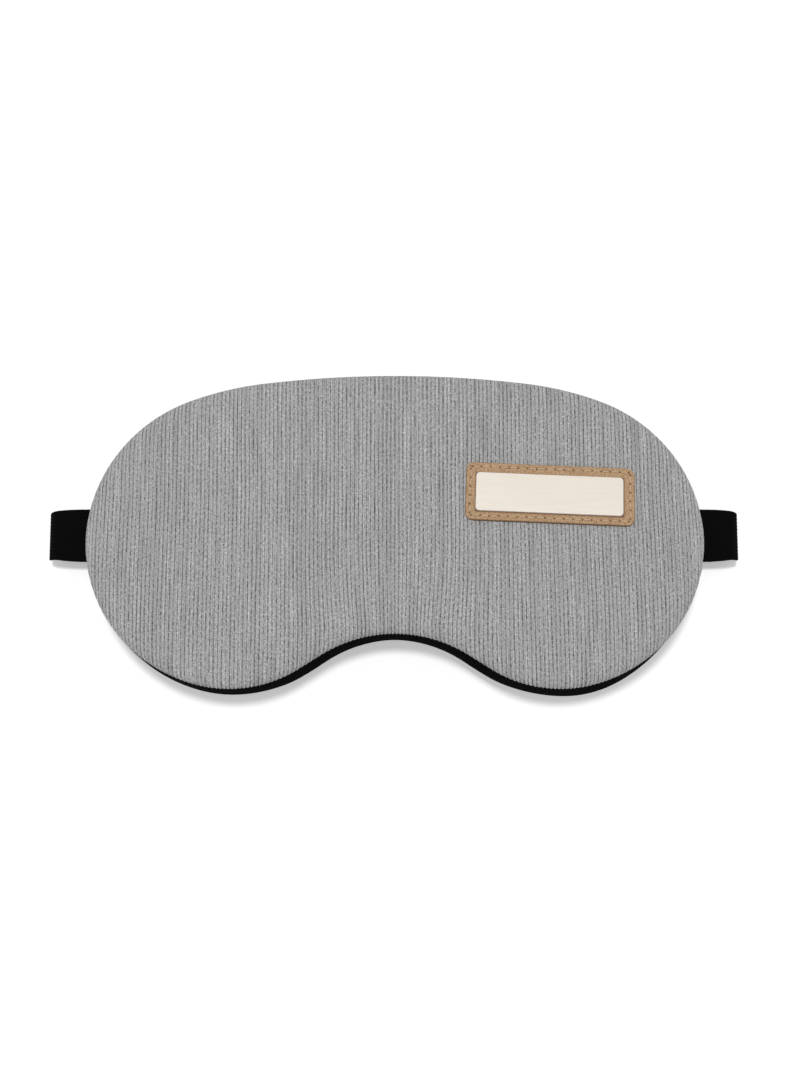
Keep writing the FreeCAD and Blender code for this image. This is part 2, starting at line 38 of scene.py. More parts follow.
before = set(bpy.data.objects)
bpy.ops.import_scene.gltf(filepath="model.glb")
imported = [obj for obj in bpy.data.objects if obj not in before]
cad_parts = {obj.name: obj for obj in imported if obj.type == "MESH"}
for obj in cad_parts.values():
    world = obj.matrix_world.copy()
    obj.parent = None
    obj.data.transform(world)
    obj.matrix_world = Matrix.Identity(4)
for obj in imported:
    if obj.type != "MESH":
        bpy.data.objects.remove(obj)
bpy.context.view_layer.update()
print("frame loaded:", len(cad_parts), "nodes")

mm = 0.001
scene = bpy.context.scene
rng = np.random.default_rng(7)


# Short ways to fill a shader tree. A value is a socket, a number or a colour.

def feed(node, values):
    # a socket is linked to the node's input, and anything else is set there
    for socket, value in values.items():
        target = node.inputs[socket]
        if isinstance(value, bpy.types.NodeSocket):
            node.id_data.links.new(value, target)
        else:
            target.default_value = value
    return node


def addNode(tree, kind, values=None, **settings):
    node = tree.nodes.new("ShaderNode" + kind)
    for name, setting in settings.items():
        setattr(node, name, setting)
    return feed(node, values or {})


def treeOf(values):
    return next(value.id_data for value in values if isinstance(value, bpy.types.NodeSocket))


def maths(operation, *values, clamp=False):
    inputs = dict(enumerate(values))
    return addNode(treeOf(values), "Math", inputs, operation=operation, use_clamp=clamp).outputs[0]


times, plus, minus = [partial(maths, operation) for operation in ("MULTIPLY", "ADD", "SUBTRACT")]
absolute, sine = partial(maths, "ABSOLUTE"), partial(maths, "SINE")


def mixColours(amount, first, second, blend="MIX"):
    inputs, tree = {0: amount, 6: first, 7: second}, treeOf((amount, first, second))
    return addNode(tree, "Mix", inputs, data_type="RGBA", blend_type=blend).outputs[2]


def remap(value, low, high, toLow=0.0, toHigh=1.0):
    inputs = {0: value, 1: low, 2: high, 3: toLow, 4: toHigh}
    return addNode(value.id_data, "MapRange", inputs, interpolation_type="SMOOTHSTEP").outputs[0]


def tinted(colour, tint, value, low, high, toLow=0.0, toHigh=1.0):
    # the colour with more tint the further the value lies from low to high
    return mixColours(remap(value, low, high, toLow, toHigh), colour, tint)


def noiseAt(place, scale, detail=2.0, roughness=0.5):
    inputs = {"Vector": place, "Scale": scale, "Detail": detail, "Roughness": roughness}
    return addNode(place.id_data, "TexNoise", inputs).outputs[0]


def stretched(place, across, along, third=1.0):
    return addNode(place.id_data, "Mapping", {0: place, 3: (across, along, third)}).outputs[0]


def newGroup(name, inputs, outputs):
    # a socket named Vector is a vector, and the others are numbers
    tree = bpy.data.node_groups.new(name, "ShaderNodeTree")
    for direction, sockets in (("INPUT", inputs), ("OUTPUT", outputs)):
        for socket in sockets:
            kind = "NodeSocketVector" if socket == "Vector" else "NodeSocketFloat"
            tree.interface.new_socket(name=socket, in_out=direction, socket_type=kind)
    entry, leave = tree.nodes.new("NodeGroupInput"), tree.nodes.new("NodeGroupOutput")
    return tree, entry.outputs[:len(inputs)], leave


def useGroup(group, values):
    return addNode(treeOf(values.values()), "Group", values, node_tree=group)


def emptyMaterial(name):
    material = bpy.data.materials.new(name)
    material.use_nodes = True
    material.node_tree.nodes.clear()
    return material, material.node_tree


def newMaterial(name, roughness, specular):
    material, tree = emptyMaterial(name)
    shader = addNode(tree, "BsdfPrincipled", {"Roughness": roughness, "Specular IOR Level": specular})
    addNode(tree, "OutputMaterial", {0: shader.outputs[0]})
    return material, tree, shader


def bumpInto(shader, height, distance, strength):
    bump = addNode(shader.id_data, "Bump", {"Height": height, "Distance": distance, "Strength": strength})
    feed(shader, {"Normal": bump.outputs[0]})


def srgb(red, green, blue):
    # a colour as it shows, 0 to 255, turned into the linear values that a shader takes
    shown = np.array([red, green, blue]) / 255
    linear = np.where(shown <= 0.04045, shown / 12.92, ((shown + 0.055) / 1.055) ** 2.4)
    return (*[float(part) for part in linear], 1.0)


# The fabric map of a piece gives the place on its flat cloth, 1 unit to 100 mm

def clothPlace(tree):
    # the map in millimetres: the whole vector, across and along
    place = addNode(tree, "UVMap", uv_map="fabric").outputs[0]
    place = addNode(tree, "VectorMath", {0: place, 1: (100.0, 100.0, 0.0)}, operation="MULTIPLY").outputs[0]
    parts = addNode(tree, "SeparateXYZ", {0: place})
    return place, parts.outputs[0], parts.outputs[1]


# Shared effects

def makeYarnMottle():
    # heathered yarn: fine flecks drawn out along the thread, on slow patches of tone
    tree, (place, fleckScale, patchScale), leave = newGroup(
        "yarnMottle", ("Vector", "Fleck", "Patch"), ("Value", "Fine"))
    fleck = noiseAt(stretched(place, 1.0, 0.45), fleckScale, 2.0, 0.6)
    patches = noiseAt(place, patchScale)
    both = plus(times(fleck, 0.7), times(patches, 0.3))
    feed(leave, {"Value": both, "Fine": remap(fleck, 0.35, 0.65)})
    return tree


def makeWeave():
    # crossing threads: two sine ridges at right angles, the upper one showing at each crossing
    tree, (placeAcross, placeAlong, warp, weft, wobble), leave = newGroup(
        "weave", ("Across", "Along", "Warp", "Weft", "Wobble"), ("Height",))
    place = addNode(tree, "CombineXYZ", {0: placeAcross, 1: placeAlong}).outputs[0]
    drift = times(noiseAt(place, 0.6, 1.0), wobble)
    across = times(plus(placeAcross, drift), warp)
    along = times(plus(placeAlong, drift), weft)
    ridges = [absolute(sine(times(way, math.pi))) for way in (across, along)]
    crossing = plus(maths("FLOOR", across), maths("FLOOR", along))
    over = absolute(sine(times(crossing, math.pi / 2)))
    feed(leave, {"Height": addNode(tree, "Mix", {0: over, 2: ridges[0], 3: ridges[1]}).outputs[0]})
    return tree


def makeGrain():
    # an uneven fine grain: cells for pores and a cloudier noise over them
    tree, (place, scale, cloudScale), leave = newGroup(
        "grain", ("Vector", "Scale", "Cloud"), ("Height", "Cloud"))
    cells = addNode(tree, "TexVoronoi", {"Vector": place, "Scale": scale}, feature="SMOOTH_F1").outputs[0]
    fine = noiseAt(place, times(scale, 1.7), 3.0, 0.65)
    height = plus(times(cells, 0.5), times(fine, 0.5))
    feed(leave, {"Height": height, "Cloud": noiseAt(place, cloudScale, 3.0, 0.55)})
    return tree


yarnMottle, weave, grain = makeYarnMottle(), makeWeave(), makeGrain()


# Materials

knitFinish = {
    "ribPitch": 1.31,
    "loopPitch": 0.55,
    "valleyShade": srgb(94, 94, 94),
    "wale": srgb(170, 170, 170),
    "lightYarn": srgb(210, 210, 210),
}


def makeKnit(finish):
    # Ribs are a folded sine of the place across. Each rib has its own depth and tone, which wander along it.
    material, tree, shader = newMaterial("heatherKnit", 0.92, 0.15)
    place, across, along = clothPlace(tree)
    ribs = maths("DIVIDE", across, finish["ribPitch"])
    shifted = plus(ribs, 0.5)
    number = maths("FLOOR", shifted)
    phase = absolute(minus(maths("FRACT", shifted), 0.5))
    ownPlace = addNode(tree, "CombineXYZ", {0: times(number, 7.31), 1: times(along, 0.05)}).outputs[0]
    wander = noiseAt(ownPlace, 1.0)
    ownTone = addNode(tree, "TexWhiteNoise", {"W": number}, noise_dimensions="1D").outputs[0]
    dash = noiseAt(stretched(place, 1.3, 0.9), 1.0, 1.0, 0.6)
    line = noiseAt(stretched(place, 3.0, 0.05), 1.0, 1.0, 0.5)
    groove = remap(phase, 0.02, 0.27, 1.0, 0.0)
    second = remap(phase, 0.4, 0.5, 0.0, 0.5)
    depth = plus(remap(wander, 0.3, 0.7, 0.5, 0.8), remap(dash, 0.3, 0.7, -0.35, 0.35))
    # painted shade: the valleys between ribs and the faint half-way groove are darkened towards the valley
    # colour, on top of the real relief, and the light flecks fade there
    dark = times(maths("MAXIMUM", groove, second), depth, clamp=True)
    mottle = useGroup(yarnMottle, {"Vector": place, "Fleck": 2.2, "Patch": 0.12})
    colour = mixColours(dark, finish["wale"], finish["valleyShade"])
    light = times(mottle.outputs["Fine"], remap(ownTone, 0.0, 1.0, 0.35, 0.75))
    light = times(light, minus(1.0, dark))
    colour = mixColours(light, colour, finish["lightYarn"])
    blotch = noiseAt(place, 2.0, 1.0, 0.6)
    shade = times(remap(line, 0.3, 0.7, 0.84, 1.16), remap(blotch, 0.3, 0.7, 0.76, 1.24))
    grey = addNode(tree, "CombineXYZ", {0: shade, 1: shade, 2: shade}).outputs[0]
    loopPlace = times(plus(along, times(phase, 0.6)), math.pi / finish["loopPitch"])
    loops = absolute(sine(loopPlace))
    height = plus(times(loops, 0.3), times(dark, -0.9))
    height = plus(height, times(mottle.outputs["Value"], 0.9))
    bumpInto(shader, height, 0.00016, 0.8)
    colour = mixColours(1.0, colour, grey, "MULTIPLY")
    feed(shader, {"Base Color": colour, "Sheen Weight": 0.3, "Sheen Roughness": 0.45})
    return material


def makeBlackCloth(name, base, threads, bumpDepth, roughness, specular, sheen=0.0):
    # black cloth of crossing threads, with slow patches where it has rubbed
    material, tree, shader = newMaterial(name, roughness, specular)
    place, across, along = clothPlace(tree)
    warp, weft = threads
    cloth = useGroup(weave, {
        "Across": across, "Along": along, "Warp": warp, "Weft": weft, "Wobble": 0.12}).outputs["Height"]
    mottle = useGroup(yarnMottle, {"Vector": place, "Fleck": 3.0, "Patch": 0.15}).outputs["Value"]
    # painted shade: darker where the weave runs low between its threads
    dark = (*[part * 0.4 for part in base[:3]], 1.0)
    rubbed = (*[min(1.0, part * 1.8) for part in base[:3]], 1.0)
    colour = mixColours(cloth, dark, base)
    colour = tinted(colour, rubbed, mottle, 0.45, 0.75)
    bumpInto(shader, plus(cloth, times(mottle, 0.8)), bumpDepth, 0.7)
    uneven = remap(mottle, 0.3, 0.8, roughness - 0.08, roughness + 0.08)
    feed(shader, {"Base Color": colour, "Sheen Weight": sheen, "Roughness": uneven})
    return material


leatherFinish = {
    "tan": srgb(180, 147, 112),
    "pale": srgb(204, 172, 136),
    "brown": srgb(132, 98, 68),
    "hole": srgb(92, 54, 32),
    "cutEdgeAndPlateShade": srgb(118, 88, 62),
    "halfLength": 27.45,
    "halfWidth": 9.85,
    "border": 1.5,
    "pitch": 3.0,
    "plateShade": (-0.18, -0.4, 23.9, 6.5),
}


def makeLeather(finish):
    # The fabric map is the place on the level patch. A dark line round the plate is painted shade where the
    # plate meets the leather. Needle holes lie along a line inside each side, where that line and the nearest
    # whole pitch are both close.
    material, tree, shader = newMaterial("tanLeather", 0.72, 0.3)
    place, along, aside = clothPlace(tree)
    skin = useGroup(grain, {"Vector": place, "Scale": 2.6, "Cloud": 0.16})
    fibre = noiseAt(stretched(place, 1.5, 2.2), 1.0, 3.0, 0.7)
    colour = tinted(finish["tan"], finish["pale"], skin.outputs["Cloud"], 0.35, 0.68, 0.0, 0.5)
    colour = tinted(colour, finish["brown"], fibre, 0.49, 0.6, 0.0, 0.6)
    colour = tinted(colour, finish["pale"], fibre, 0.5, 0.4, 0.0, 0.7)
    fromEnd, fromSide = [minus(finish[half], absolute(way))
                         for half, way in (("halfLength", along), ("halfWidth", aside))]
    inset = maths("MINIMUM", fromEnd, fromSide)
    # darker towards the cut edge: the edge's own burnished finish
    colour = tinted(colour, finish["cutEdgeAndPlateShade"], inset, 0.05, 0.4, 0.7, 0.0)
    # painted shade: a thin darker line all round the plate, in the cut edge's colour
    shadeAlong, shadeAside, shadeLength, shadeWidth = finish["plateShade"]
    ways = ((along, shadeAlong, shadeLength), (aside, shadeAside, shadeWidth))
    beyond = maths("MAXIMUM", *[minus(absolute(minus(way, middle)), half) for way, middle, half in ways])
    colour = tinted(colour, finish["cutEdgeAndPlateShade"], beyond, 0.0, 0.6, 0.9, 0.0)
    reaches = []
    for inward, way in ((fromSide, along), (fromEnd, aside)):
        step = maths("FRACT", maths("DIVIDE", way, finish["pitch"]))
        toHole = times(absolute(minus(step, 0.5)), finish["pitch"])
        toLine = minus(inward, finish["border"])
        reaches.append(plus(times(toHole, toHole), times(toLine, toLine)))
    reach = maths("SQRT", maths("MINIMUM", *reaches))
    hole = remap(plus(reach, times(fibre, 0.2)), 0.2, 0.5, 1.0, 0.0)
    # painted shade: the needle holes are darkened towards the hole colour
    colour = mixColours(times(hole, 0.75), colour, finish["hole"])
    height = plus(times(fibre, 0.5), times(hole, -1.6))
    height = plus(times(skin.outputs["Height"], 0.4), height)
    bumpInto(shader, height, 0.0002, 0.8)
    feed(shader, {"Base Color": colour, "Roughness": remap(fibre, 0.3, 0.7, 0.62, 0.82)})
    return material


plateFinish = {"cream": srgb(243, 233, 220), "shade": srgb(236, 225, 211), "rimHighlight": srgb(252, 247, 240)}


def makePlate(finish):
    # satin face brushed along its length, with a paler rim along the bevel, a painted highlight
    material, tree, shader = newMaterial("creamPlate", 0.42, 0.35)
    place, across, along = clothPlace(tree)
    objectPlace = addNode(tree, "TexCoord").outputs["Object"]
    brushed = noiseAt(stretched(objectPlace, 110.0, 2300.0, 200.0), 1.0, 3.0, 0.6)
    skin = useGroup(grain, {"Vector": objectPlace, "Scale": 2600.0, "Cloud": 60.0})
    colour = tinted(finish["cream"], finish["shade"], brushed, 0.4, 0.66, 0.0, 0.35)
    # painted highlight: paler towards the bevelled rim
    colour = tinted(colour, finish["rimHighlight"], across, 0.1, 0.45, 0.9, 0.0)
    height = plus(times(brushed, 0.6), times(skin.outputs["Height"], 0.25))
    bumpInto(shader, height, 0.00004, 0.6)
    feed(shader, {"Base Color": colour, "Roughness": remap(brushed, 0.3, 0.7, 0.36, 0.5)})
    return material


def makeThread(name, colour, deep):
    # plied thread: slanting stripes round the tube, darker in the grooves between plies as painted shade
    material, tree, shader = newMaterial(name, 0.7, 0.25)
    place, across, along = clothPlace(tree)
    slant = plus(times(across, 1.2), along)
    ply = sine(times(slant, math.tau / 0.55))
    mottle = useGroup(yarnMottle, {"Vector": place, "Fleck": 5.0, "Patch": 0.5})
    amount = plus(times(remap(ply, -1.0, 0.4), 0.7), times(mottle.outputs["Fine"], 0.3))
    bumpInto(shader, ply, 0.00005, 0.8)
    feed(shader, {"Base Color": mixColours(amount, deep, colour)})
    return material


def makeMoulded():
    # moulded black acetal: fine spark texture, softer flow marks and duller patches
    material, tree, shader = newMaterial("mouldedBlack", 0.38, 0.4)
    objectPlace = addNode(tree, "TexCoord").outputs["Object"]
    skin = useGroup(grain, {"Vector": objectPlace, "Scale": 3800.0, "Cloud": 180.0})
    cloud = skin.outputs["Cloud"]
    colour = tinted(srgb(13, 13, 14), srgb(24, 24, 25), cloud, 0.35, 0.7)
    bumpInto(shader, skin.outputs["Height"], 0.00003, 0.5)
    feed(shader, {"Base Color": colour, "Roughness": remap(cloud, 0.3, 0.7, 0.32, 0.5)})
    return material


materials = {
    "knit": makeKnit(knitFinish),
    "band": makeBlackCloth("blackBand", srgb(10, 10, 10), (0.7, 1.5), 0.0002, 0.9, 0.01),
    "back": makeBlackCloth("brushedBack", srgb(24, 24, 26), (1.4, 1.4), 0.00009, 0.75, 0.15, 0.05),
    "elastic": makeBlackCloth("blackElastic", srgb(10, 10, 10), (0.9, 1.9), 0.00012, 0.85, 0.03),
    "leather": makeLeather(leatherFinish),
    "plate": makePlate(plateFinish),
    "thread": makeThread("tanThread", srgb(238, 214, 180), srgb(202, 168, 128)),
    "tack": makeThread("blackThread", srgb(20, 20, 20), srgb(6, 6, 6)),
    "moulded": makeMoulded(),
}
print("materials made:", len(materials))


# Meshes from grids of points

def gridQuads(rows, columns):
    index = np.arange(rows * columns).reshape(rows, columns)
    return np.stack([index[:-1, :-1], index[:-1, 1:], index[1:, 1:], index[1:, :-1]], -1).reshape(-1, 4)


def quadMesh(name, points, quads, fabric, material):
    # Points in millimetres, quads as rows of four point numbers, fabric as two millimetre values a point.
    # Points that meet are merged, which closes seams and poles.
    points, fabric = points.reshape(-1, 3) * mm, fabric.reshape(-1, 2) / 100
    mesh = bpy.data.meshes.new(name)
    mesh.vertices.add(len(points))
    mesh.vertices.foreach_set("co", points.astype(np.float32).ravel())
    mesh.loops.add(quads.size)
    mesh.loops.foreach_set("vertex_index", quads.astype(np.int32).ravel())
    mesh.polygons.add(len(quads))
    mesh.polygons.foreach_set("loop_start", np.arange(0, quads.size, 4, dtype=np.int32))
    layer = mesh.uv_layers.new(name="fabric")
    layer.data.foreach_set("uv", fabric[quads].astype(np.float32).ravel())
    mesh.update(calc_edges=True)
    work = bmesh.new()
    work.from_mesh(mesh)
    bmesh.ops.remove_doubles(work, verts=work.verts, dist=2e-7)
    bmesh.ops.dissolve_degenerate(work, edges=work.edges, dist=1e-8)
    work.to_mesh(mesh)
    work.free()
    mesh.shade_smooth()
    piece = bpy.data.objects.new(name, mesh)
    scene.collection.objects.link(piece)
    piece.data.materials.append(material)
    return piece


def gridMesh(name, points, fabric, material):
    return quadMesh(name, points, gridQuads(*points.shape[:2]), fabric, material)


def smoothStep(value):
    value = np.clip(value, 0, 1)
    return value * value * (3 - 2 * value)


def hump(value, middle, reach):
    return np.exp(-((value - middle) / reach) ** 2)


def stacked(*parts):
    # coordinates side by side, each spread out to the same shape
    return np.stack(np.broadcast_arrays(*parts), -1)


def wayAlong(points):
    return np.append(0, np.cumsum(np.linalg.norm(np.diff(points, axis=0), axis=1)))


def sampled(at, places, points):
    return stacked(*[np.interp(at, places, column) for column in points.T])


def standFor(piece, body, slotName, *nodes):
    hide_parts(*nodes)
    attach(piece, body)


# The outline of the mask: arcs that touch each other, the same on both sides

maskOutline = {
    "halfWidth": 100.0, "browHeight": 52.9, "lobeDepth": 52.9, "noseDepth": 35.2, "sideDrop": 5.6,
    "shoulderDrop": 2.0, "shoulderStep": 50.0, "lobeRise": 0.3, "lobeStep": 10.0, "noseSlope": 8.0,
}


def outlineArcs(shape):
    # Each arc is centre, radius, lowest and highest angle, and 1 where it bulges or -1 at the nose.
    sideRadius = (shape["browHeight"] - shape["sideDrop"] + shape["lobeDepth"] + shape["lobeRise"]) / 2
    side = (shape["halfWidth"] - sideRadius, shape["browHeight"] - shape["sideDrop"] - sideRadius)
    shoulderRadius = sideRadius + shape["shoulderStep"]
    shoulderUp = shape["browHeight"] - shape["shoulderDrop"] - shoulderRadius
    shoulder = (side[0] - math.sqrt(shape["shoulderStep"] ** 2 - (side[1] - shoulderUp) ** 2), shoulderUp)
    lobeRadius = sideRadius - shape["lobeStep"]
    lobeUp = lobeRadius - shape["lobeDepth"]
    lobe = (side[0] + math.sqrt(shape["lobeStep"] ** 2 - (side[1] - lobeUp) ** 2), lobeUp)
    fall = shape["browHeight"] - shoulderUp
    browRadius = (shoulder[0] ** 2 + fall ** 2 - shoulderRadius ** 2) / (2 * (fall - shoulderRadius))
    brow = (0.0, shape["browHeight"] - browRadius)
    reach = lobe[0] ** 2 + (lobe[1] + shape["noseDepth"]) ** 2
    noseRadius = ((reach - lobeRadius ** 2 - shape["noseSlope"] ** 2)
                  / (2 * (shape["lobeDepth"] - shape["noseDepth"])))
    nose = (0.0, -shape["noseDepth"] - noseRadius)

    def heading(start, end):
        return math.atan2(end[1] - start[1], end[0] - start[0])

    lobeTurn = heading(lobe, nose) + math.acos((lobeRadius + noseRadius) / math.dist(lobe, nose))
    noseTurn, sideTurn = lobeTurn + math.pi, heading(side, lobe)
    shoulderTurn, browTurn = heading(shoulder, side), heading(brow, shoulder)
    return {
        "nose": (*nose, noseRadius, noseTurn, math.pi / 2, -1),
        "lobe": (*lobe, lobeRadius, lobeTurn, sideTurn, 1),
        "side": (*side, sideRadius, sideTurn, shoulderTurn, 1),
        "shoulder": (*shoulder, shoulderRadius, shoulderTurn, browTurn, 1),
        "brow": (*brow, browRadius, browTurn, math.pi / 2, 1),
    }


arcs = outlineArcs(maskOutline)
slopeNormal = np.array([math.cos(arcs["lobe"][3]), math.sin(arcs["lobe"][3])])
slopeFoot = np.array(arcs["lobe"][:2]) + slopeNormal * arcs["lobe"][2]
slopeHead = np.array(arcs["nose"][:2]) - slopeNormal * arcs["nose"][2]


def edgeAcross(x, upper):
    # The outline's height at each place across, and its outward normal there.
    ax = np.abs(x)
    picks, heights, normals = [], [], []
    for name in ("brow", "shoulder", "side") if upper else ("nose", "lobe", "side"):
        cx, cy, radius, low, high, bulge = arcs[name]
        above = upper or name == "nose"
        height = cy + (1 if above else -1) * np.sqrt(np.maximum(radius ** 2 - (ax - cx) ** 2, 0))
        picks.append(ax <= cx + radius * math.cos(low if above else high) + 1e-9)
        heights.append(height)
        normals.append(stacked(ax - cx, height - cy) / radius * bulge)
    if not upper:
        share = (ax - slopeHead[0]) / (slopeFoot[0] - slopeHead[0])
        picks.insert(1, ax <= slopeFoot[0])
        heights.insert(1, slopeHead[1] + share * (slopeFoot[1] - slopeHead[1]))
        normals.insert(1, np.broadcast_to(slopeNormal, (*ax.shape, 2)))
    picks[-1] = np.ones_like(ax, bool)
    normal = stacked(*[np.select(picks, [one[..., axis] for one in normals]) for axis in (0, 1)])
    normal[..., 0] *= np.where(x < 0, -1, 1)
    return np.select(picks, heights), normal


def nearEdge(x, y):
    # The distance in from the outline and the outward normal of its nearest place: the least over its arcs.
    ax = np.abs(x)
    best = (slopeFoot[0] - ax) * slopeNormal[0] + (slopeFoot[1] - y) * slopeNormal[1]
    run = slopeFoot - slopeHead
    share = ((ax - slopeHead[0]) * run[0] + (y - slopeHead[1]) * run[1]) / (run @ run)
    best = np.where((share >= 0) & (share <= 1), best, 1e9)
    normal = np.broadcast_to(slopeNormal, (*ax.shape, 2)).copy()
    for cx, cy, radius, low, high, bulge in arcs.values():
        dx, dy = ax - cx, y - cy
        away, angle = np.hypot(dx, dy), np.arctan2(dy, dx)
        inside = bulge * (radius - away)
        near = (angle >= low - 1e-6) & (angle <= high + 1e-6) & (inside < best) & (inside > -1)
        best = np.where(near, inside, best)
        unit = stacked(dx, dy) / away[..., None] * bulge
        normal = np.where(near[..., None], unit, normal)
    normal[..., 0] *= np.where(x < 0, -1, 1)
    return np.maximum(best, 0), normal


def outlineLoop(spacing):
    # The closed outline, anticlockwise from the nose, with its outward normals: arcs sampled by angle.
    points, normals = [], []
    for name, (cx, cy, radius, low, high, bulge) in arcs.items():
        count = max(2, int(radius * (high - low) / spacing) + 1)
        turn = np.linspace(high, low, count) if name == "nose" else np.linspace(low, high, count)
        unit = stacked(np.cos(turn), np.sin(turn))
        if name != "brow":
            unit = unit[:-1]
        points.append(np.array([cx, cy]) + radius * unit)
        normals.append(unit * bulge)
    count = max(2, int(np.linalg.norm(slopeFoot - slopeHead) / spacing))
    run = np.linspace(0, 1, count, endpoint=False)[:, None]
    points.insert(1, slopeHead + run * (slopeFoot - slopeHead))
    normals.insert(1, np.broadcast_to(slopeNormal, (count, 2)))
    right = [np.concatenate(part) for part in (points, normals)]
    return [np.concatenate([part, part[-2::-1] * np.array([-1, 1])]) for part in right]


# The leather patch lies turned on the right half of the front

patch = {
    "across": 50.4, "up": 10.3, "tilt": -2.5, "length": 54.9, "width": 19.7, "corner": 2.7,
    "thickness": 1.2, "press": 0.25, "pressLip": 1.0, "pressReach": 3.5, "channel": 0.9, "channelDepth": 0.14,
    "border": 1.5,
}
plate = {
    "along": -0.25, "aside": -0.3, "length": 47.75, "width": 13.0, "corner": 1.2, "thickness": 0.8,
    "bevel": 0.3,
}
tilt = math.radians(patch["tilt"])


def ontoPatch(x, y):
    dx, dy = x - patch["across"], y - patch["up"]
    return dx * math.cos(tilt) + dy * math.sin(tilt), -dx * math.sin(tilt) + dy * math.cos(tilt)


def fromPatch(along, aside):
    return (patch["across"] + along * math.cos(tilt) - aside * math.sin(tilt),
            patch["up"] + along * math.sin(tilt) + aside * math.cos(tilt))


# The front cover: a crowned pad with a steep rounded edge that bulges over its seam

front = {
    "widest": 17.9, "edgeRise": 2.25, "edgeWidth": 5.2, "edgePower": 2.15, "crown": 0.6, "crownReach": 17.0,
    "seam": 16.5, "seamInset": 0.6, "ribPitch": 1.31, "ribDepth": 0.24, "rows": 106, "stepsPerRib": 6,
    "grainTurn": 0.012, "grainSpread": 0.0004, "grainGather": 0.16, "pull": 0.85, "pullFrom": 25.0,
    "pullOver": 30.0, "pullReach": 7.0, "edgeRibs": 0.95, "tightRibs": 0.6, "edgeRibReach": 1.5,
    "bunching": 0.78, "turnUnder": 1.6,
}
edgeTable = np.linspace(0, 1, 400) ** 2 * 12
edgeHeights = front["edgeRise"] * (1 - (1 - np.clip(edgeTable / front["edgeWidth"], 0, 1))
                                   ** front["edgePower"]) ** (1 / front["edgePower"])
edgeSteps = np.hypot(np.diff(edgeTable), np.diff(edgeHeights)) - np.diff(edgeTable)
edgeExtra = np.append(np.cumsum(edgeSteps[::-1])[::-1], 0)  # cloth used up by the edge's fall, beyond its run


def frontHeight(x, y, inside):
    # the edge's rounded rise, a slow crown towards the middle, and gentle unevenness of the filling
    rise = np.interp(inside, edgeTable, edgeHeights)
    crown = front["crown"] * (1 - np.exp(-(inside / front["crownReach"]) ** 2))
    lumps = (0.10 * np.sin(x / 11.0 + 1.3) * np.sin(y / 9.0 + 0.4)
             + 0.06 * np.sin(x / 5.7 + y / 7.9)) * smoothStep(inside / 14)
    return front["widest"] + rise + crown + lumps


def patchPress(x, y):
    # the cloth is pressed down under the patch and comes up again past its edge
    along, aside = ontoPatch(x, y)
    beyond = np.hypot(*[np.maximum(np.abs(way) - size / 2 + patch["pressLip"], 0)
                        for way, size in ((along, patch["length"]), (aside, patch["width"]))])
    return patch["press"] * (1 - smoothStep(beyond / patch["pressReach"]))


def ribRelief(across):
    # round wales with a sharp valley at each whole rib, and a faint one half way
    phase = across / front["ribPitch"]
    wale = np.abs(np.sin(np.pi * phase)) ** 0.6
    return front["ribDepth"] * (wale - 0.65)


def edgeRibs(y):
    # how much deeper the ribs are at the edge: gathered cloth below, and cloth drawn tight above
    low = smoothStep(0.5 - y / 50)
    return front["edgeRibs"] * low - front["tightRibs"] * (1 - low)


def grainShift(x, y):
    # how far the ribs have moved aside at a place: they lean a little on the left, gather above the nose and
    # spread towards the forehead edge
    lean = front["grainTurn"] * y * smoothStep(-x / 60) - front["grainSpread"] * x * np.maximum(y - 10, 0)
    return lean + front["grainGather"] * x * hump(x, 0, 21) * np.clip(-y / 33, 0, 1) ** 2


def columnPlaces(step):
    # even columns, then columns set by the side circle's own arc so that the ends stay round
    cx, cy, radius = arcs["side"][:3]
    count = int((maskOutline["halfWidth"] - 0.45) / step)
    even = np.arange(-count, count + 1) * step
    reach = math.sqrt(radius ** 2 - (even[-1] - cx) ** 2)
    arc = cx + np.sqrt(radius ** 2 - np.linspace(0, reach, 13)[:-1] ** 2)
    return np.concatenate([-arc, even, arc[::-1]])


def coverGrid(step, rows, bunching):
    # In each column rows run from the lower edge to the upper one, closer near both. With each point come
    # its distance in from the outline and the normal there, and then the two edges as heights and normals.
    x = columnPlaces(step)
    edges = edgeAcross(x, False), edgeAcross(x, True)
    share = np.linspace(0, 1, rows)
    share = share - bunching * np.sin(math.tau * share) / math.tau
    y = edges[0][0] + (edges[1][0] - edges[0][0]) * share[:, None]
    across = np.broadcast_to(x, y.shape)
    inside, normal = nearEdge(across, y)
    for row, edge in zip((0, -1), edges):
        inside[row], normal[row] = 0, edge[1]
    return across, y, inside, normal, edges


